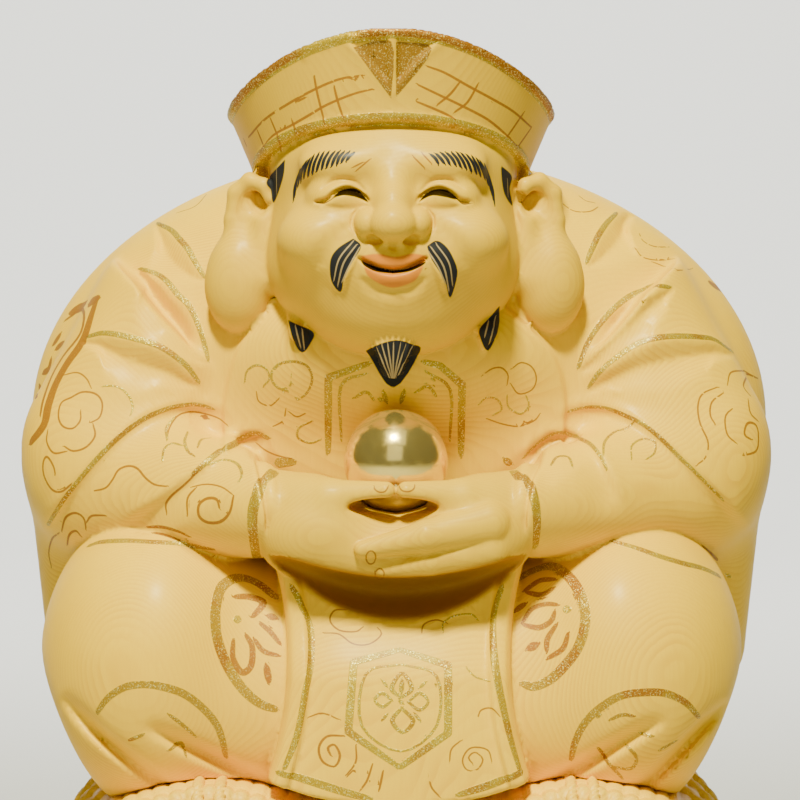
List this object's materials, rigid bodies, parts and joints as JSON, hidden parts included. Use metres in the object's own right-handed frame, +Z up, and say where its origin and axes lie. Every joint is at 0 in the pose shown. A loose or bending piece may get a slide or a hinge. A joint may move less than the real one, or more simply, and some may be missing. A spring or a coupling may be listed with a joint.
{
  "type": "carved wooden daikoku figure",
  "caption": "Seated smiling god of luck carved in pale wood, in a peaked hat, holding a gold ball, on two rice bales.",
  "frame": {"origin": "centre of the footprint, on the surface that the bales stand on", "axes": "+Z up, the figure looks along -Y, its left hand is towards +X"},
  "size_m": [0.1939, 0.1372, 0.2775],
  "materials": {
    "carved_wood": "fine-ringed pale wood, waxed to a satin sheen, with painted gold and brown patterns",
    "bale_wood": "the same pale wood, carved as straw and rope, satin",
    "gold": "polished mirror gold"
  },
  "bodies": {
    "root": {"figure": "carved_wood", "rice_bales": "bale_wood", "gold_ball": "gold"}
  },
  "joints": []
}
